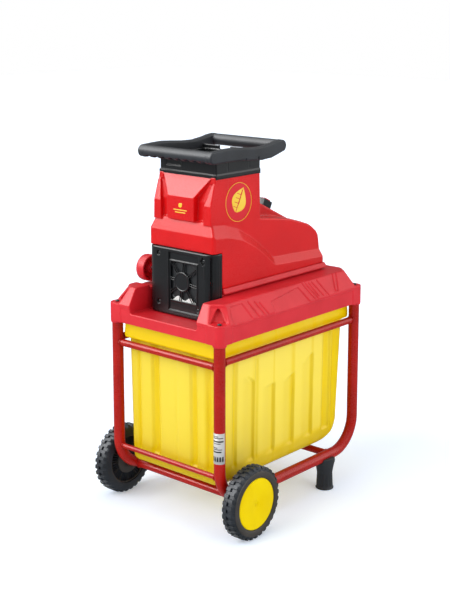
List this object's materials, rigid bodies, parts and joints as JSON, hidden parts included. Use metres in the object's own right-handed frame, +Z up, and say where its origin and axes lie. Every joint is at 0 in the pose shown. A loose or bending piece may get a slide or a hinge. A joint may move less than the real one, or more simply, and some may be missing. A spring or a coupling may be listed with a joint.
{
  "type": "wood chipper",
  "caption": "Electric roller garden shredder on a wheeled tube frame: hopper with carrying ring, geared cutter drum with adjustable pressure plate, and a pull-out collection box.",
  "frame": {"origin": "on the floor, under the middle of the machine's overall box", "axes": "+Z up, Y along the machine with the wheels at -Y and the box pulling out towards +Y, X across with the pressure plate knob on -X"},
  "size_m": [0.479, 0.5954, 0.936],
  "materials": {
    "hood_red": "moulded, slightly satin",
    "housing_red": "moulded, satin gloss",
    "frame_red": "powder coat",
    "black_plastic": "moulded, satin",
    "wheel_grey": "moulded",
    "tyre": "hard rubber",
    "cap_yellow": "moulded",
    "box_yellow": "translucent, moulded",
    "emblem_yellow": "printed film",
    "label_white": "printed film",
    "steel": "machined",
    "cast_alloy": "die cast",
    "capacitor_white": "moulded",
    "flap_rubber": "soft sheet",
    "button_green": "moulded",
    "button_red": "moulded",
    "button_black": "moulded"
  },
  "bodies": {
    "frame": {"axle_nuts": "steel", "axle_rod": "steel", "axle_spacers": "steel", "axle_tube": "frame_red", "badge_plate": "emblem_yellow", "box_guides": "black_plastic", "cover_screws": "steel", "cutter_cover": "black_plastic", "cutter_housing": "cast_alloy", "emblem_left": "emblem_yellow", "emblem_right": "emblem_yellow", "foot_left": "black_plastic", "foot_right": "black_plastic", "frame_tube_left": "frame_red", "frame_tube_right": "frame_red", "front_lower_bar": "frame_red", "front_upper_bar": "frame_red", "gear_case": "cast_alloy", "handle_ring": "black_plastic", "hood": "hood_red", "hood_screws": "steel", "hopper_chute": "black_plastic", "hopper_collar": "black_plastic", "latch_rails": "hood_red", "main_housing": "housing_red", "motor_case": "cast_alloy", "motor_saddle": "black_plastic", "motor_stator": "steel", "post_label": "label_white", "power_inlet": "black_plastic", "rear_cross_tube": "frame_red", "run_capacitor": "capacitor_white", "safety_switch": "black_plastic", "shaft_bearings": "steel", "side_rail_left": "frame_red", "side_rail_right": "frame_red", "splash_flap": "flap_rubber", "switch_box": "black_plastic"},
    "wheel_left": {"tyre_left": "tyre", "wheel_rim_left": "wheel_grey", "hubcap_left": "cap_yellow"},
    "wheel_right": {"tyre_right": "tyre", "wheel_rim_right": "wheel_grey", "hubcap_right": "cap_yellow"},
    "drum": {"cutter_drum": "steel", "drum_gear": "steel"},
    "second_stage": {"second_shaft": "steel", "second_gear": "steel"},
    "first_stage": {"first_shaft": "steel", "first_gear": "steel"},
    "rotor": {"motor_rotor": "steel", "cooling_fan": "black_plastic"},
    "anvil": {"anvil_plate": "cast_alloy"},
    "knob": {"anvil_knob": "hood_red", "anvil_screw": "steel"},
    "on_button": {"on_button": "button_green"},
    "off_button": {"off_button": "button_red"},
    "reset_button": {"reset_button": "button_black"},
    "box": {"collection_box": "box_yellow"},
    "latch": {"box_latch": "hood_red"}
  },
  "joints": [
    {"name": "wheel_left_spin", "type": "hinge", "parent": "frame", "child": "wheel_left", "pos_m": [-0.2185, -0.20775, 0.09], "axis": [1, 0, 0], "continuous": true},
    {"name": "wheel_right_spin", "type": "hinge", "parent": "frame", "child": "wheel_right", "pos_m": [0.2185, -0.20775, 0.09], "axis": [1, 0, 0], "continuous": true},
    {"name": "motor_spin", "type": "hinge", "parent": "frame", "child": "rotor", "pos_m": [0.008, 0.04, 0.645], "axis": [0, 1, 0], "continuous": true},
    {"name": "first_stage_spin", "type": "hinge", "parent": "frame", "child": "first_stage", "pos_m": [-0.00263, -0.05, 0.6794], "axis": [0, 1, 0], "continuous": true},
    {"name": "second_stage_spin", "type": "hinge", "parent": "frame", "child": "second_stage", "pos_m": [-0.03796, -0.07, 0.64057], "axis": [0, 1, 0], "continuous": true},
    {"name": "drum_spin", "type": "hinge", "parent": "frame", "child": "drum", "pos_m": [0.008, -0.16, 0.602], "axis": [0, 1, 0], "continuous": true},
    {"name": "knob_turn", "type": "hinge", "parent": "frame", "child": "knob", "pos_m": [-0.154, -0.17375, 0.606], "axis": [1, 0, 0], "range_deg": [-270, 270]},
    {"name": "anvil_feed", "type": "slide", "parent": "frame", "child": "anvil", "axis": [1, 0, 0], "range_m": [-0.00149, 0.00149]},
    {"name": "on_button_press", "type": "slide", "parent": "frame", "child": "on_button", "axis": [0, -0.4352, -0.9003], "range_m": [0, 0.003], "stiffness_N_per_m": 300},
    {"name": "off_button_press", "type": "slide", "parent": "frame", "child": "off_button", "axis": [0, -0.4352, -0.9003], "range_m": [0, 0.003], "stiffness_N_per_m": 300},
    {"name": "reset_button_press", "type": "slide", "parent": "frame", "child": "reset_button", "axis": [0, -1, 0], "range_m": [0, 0.003], "stiffness_N_per_m": 300},
    {"name": "box_slide", "type": "slide", "parent": "frame", "child": "box", "axis": [0, 1, 0], "range_m": [0, 0.5]},
    {"name": "latch_slide", "type": "slide", "parent": "frame", "child": "latch", "axis": [0, 0, -1], "range_m": [0, 0.012]}
  ],
  "couplings": [
    {"joint": "first_stage_spin", "follows": "motor_spin", "ratio": -0.2},
    {"joint": "second_stage_spin", "follows": "motor_spin", "ratio": 0.05},
    {"joint": "drum_spin", "follows": "motor_spin", "ratio": -0.016667},
    {"joint": "knob_turn", "follows": "anvil_feed", "rad_per_m": 3141.6}
  ]
}
